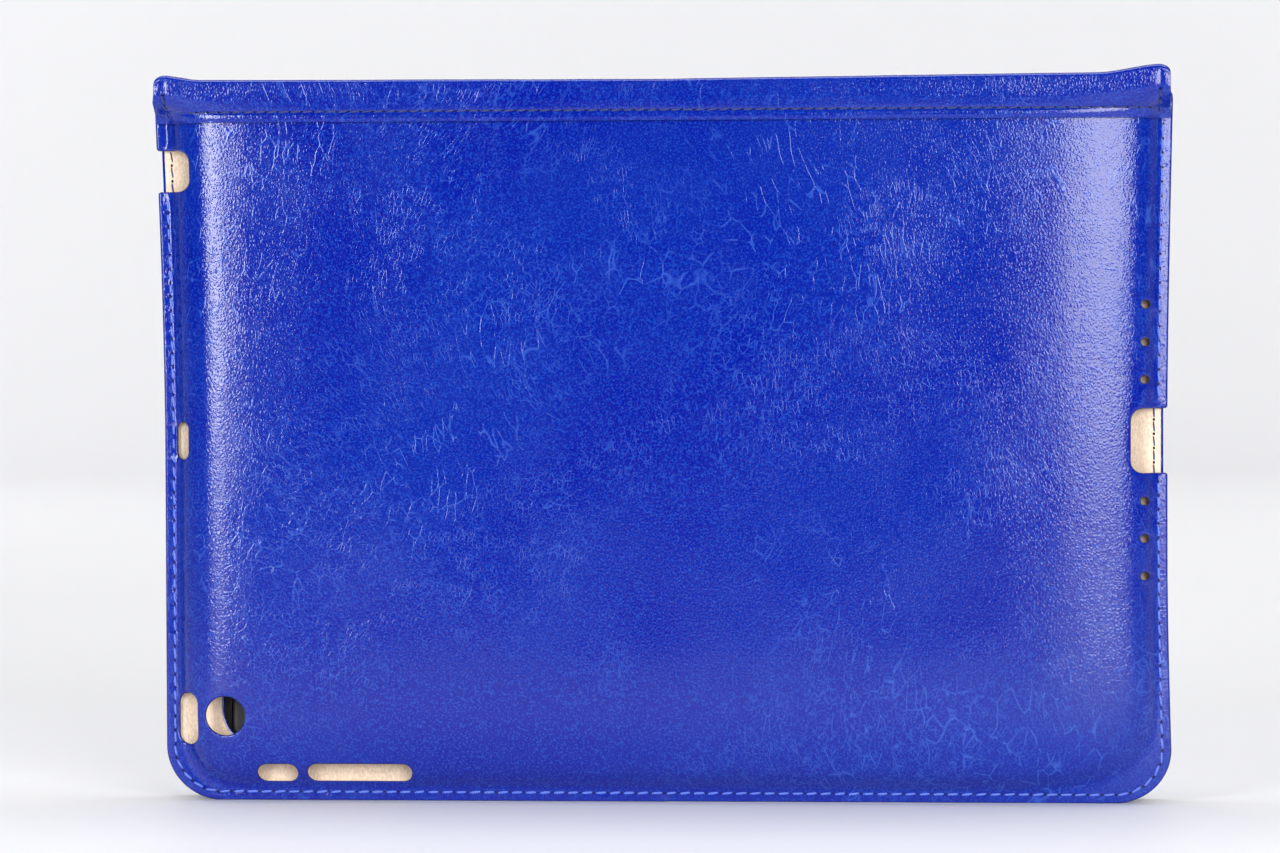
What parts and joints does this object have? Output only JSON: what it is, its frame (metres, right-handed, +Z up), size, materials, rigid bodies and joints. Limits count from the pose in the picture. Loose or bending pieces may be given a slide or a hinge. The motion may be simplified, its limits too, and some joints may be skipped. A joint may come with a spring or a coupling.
{
  "type": "tablet keyboard case",
  "caption": "Leather-look folio that closes round a tablet sleeve and a thin keyboard, hinged along one long edge by a folding spine strip.",
  "frame": {"origin": "middle of the closed case's footprint, on the surface it stands on", "axes": "+X along the spine, to the right when the sleeve's back is seen; +Y from the sleeve's back to the cover; +Z up, from the lower edges to the spine"},
  "size_m": [0.256, 0.0248, 0.184],
  "materials": {
    "blue_leather": "satin",
    "beige_microfibre": "matte",
    "grey_board": "matte",
    "blue_thread": "satin",
    "black_plastic": "matte",
    "black_keycap": "satin",
    "clear_plastic": "gloss",
    "dome_rubber": "matte",
    "plate_aluminium": "satin",
    "steel": "satin",
    "magnet_nickel": "satin",
    "circuit_green": "satin",
    "battery_foil": "satin",
    "adhesive_film": "matte"
  },
  "bodies": {
    "sleeve": {"sleeve_back_skin": "blue_leather", "sleeve_back_lining": "beige_microfibre", "sleeve_edge_thread": "blue_thread", "window_frame_skin": "blue_leather", "window_frame_board": "grey_board", "window_frame_lining": "beige_microfibre", "frame_magnets": "magnet_nickel", "spine_band_on_sleeve": "blue_leather", "sleeve_band_thread": "blue_thread"},
    "spine": {"spine_leather": "blue_leather", "spine_board": "grey_board", "spine_lining": "beige_microfibre"},
    "cover": {"spine_band_on_cover": "blue_leather", "cover_band_thread": "blue_thread", "cover_skin": "blue_leather", "cover_board": "grey_board", "cover_magnets": "magnet_nickel", "cover_lining": "beige_microfibre", "cover_edge_thread": "blue_thread", "keyboard_top_frame": "black_plastic", "keyboard_bottom_shell": "black_plastic", "shell_screws": "steel", "keyboard_adhesive": "adhesive_film", "key_base_plate": "plate_aluminium", "rubber_dome_sheet": "dome_rubber", "circuit_board": "circuit_green", "membrane_ribbon": "clear_plastic", "battery": "battery_foil", "charging_socket": "steel", "switch_housing": "black_plastic", "pairing_tact_switch": "black_plastic", "status_lens": "clear_plastic"},
    "function_keys": {"keys_function_row": "black_keycap"},
    "number_keys": {"keys_number_row": "black_keycap"},
    "upper_keys": {"keys_upper_row": "black_keycap"},
    "home_keys": {"keys_home_row": "black_keycap"},
    "lower_keys": {"keys_lower_row": "black_keycap"},
    "modifier_keys": {"keys_modifier_row": "black_keycap"},
    "space_key": {"space_bar": "black_keycap"},
    "power_switch": {"power_switch_slider": "black_plastic"},
    "pairing_key": {"pairing_button": "black_plastic"}
  },
  "joints": [
    {"name": "spine_hinge", "type": "hinge", "parent": "sleeve", "child": "spine", "pos_m": [0, -0.01155, 0.18345], "axis": [1, 0, 0], "range_deg": [0, 180]},
    {"name": "cover_hinge", "type": "hinge", "parent": "spine", "child": "cover", "pos_m": [0, 0.01155, 0.18345], "axis": [1, 0, 0], "range_deg": [0, 180]},
    {"name": "function_row_press", "type": "slide", "parent": "cover", "child": "function_keys", "axis": [0, 1, 0], "range_m": [0, 0.0014], "stiffness_N_per_m": 400},
    {"name": "number_row_press", "type": "slide", "parent": "cover", "child": "number_keys", "axis": [0, 1, 0], "range_m": [0, 0.0014], "stiffness_N_per_m": 400},
    {"name": "upper_row_press", "type": "slide", "parent": "cover", "child": "upper_keys", "axis": [0, 1, 0], "range_m": [0, 0.0014], "stiffness_N_per_m": 400},
    {"name": "home_row_press", "type": "slide", "parent": "cover", "child": "home_keys", "axis": [0, 1, 0], "range_m": [0, 0.0014], "stiffness_N_per_m": 400},
    {"name": "lower_row_press", "type": "slide", "parent": "cover", "child": "lower_keys", "axis": [0, 1, 0], "range_m": [0, 0.0014], "stiffness_N_per_m": 400},
    {"name": "modifier_row_press", "type": "slide", "parent": "cover", "child": "modifier_keys", "axis": [0, 1, 0], "range_m": [0, 0.0014], "stiffness_N_per_m": 400},
    {"name": "space_bar_press", "type": "slide", "parent": "cover", "child": "space_key", "axis": [0, 1, 0], "range_m": [0, 0.0014], "stiffness_N_per_m": 400},
    {"name": "power_switch_slide", "type": "slide", "parent": "cover", "child": "power_switch", "axis": [1, 0, 0], "range_m": [0, 0.002]},
    {"name": "pairing_button_press", "type": "slide", "parent": "cover", "child": "pairing_key", "axis": [0, 1, 0], "range_m": [0, 0.0004], "stiffness_N_per_m": 1200}
  ]
}
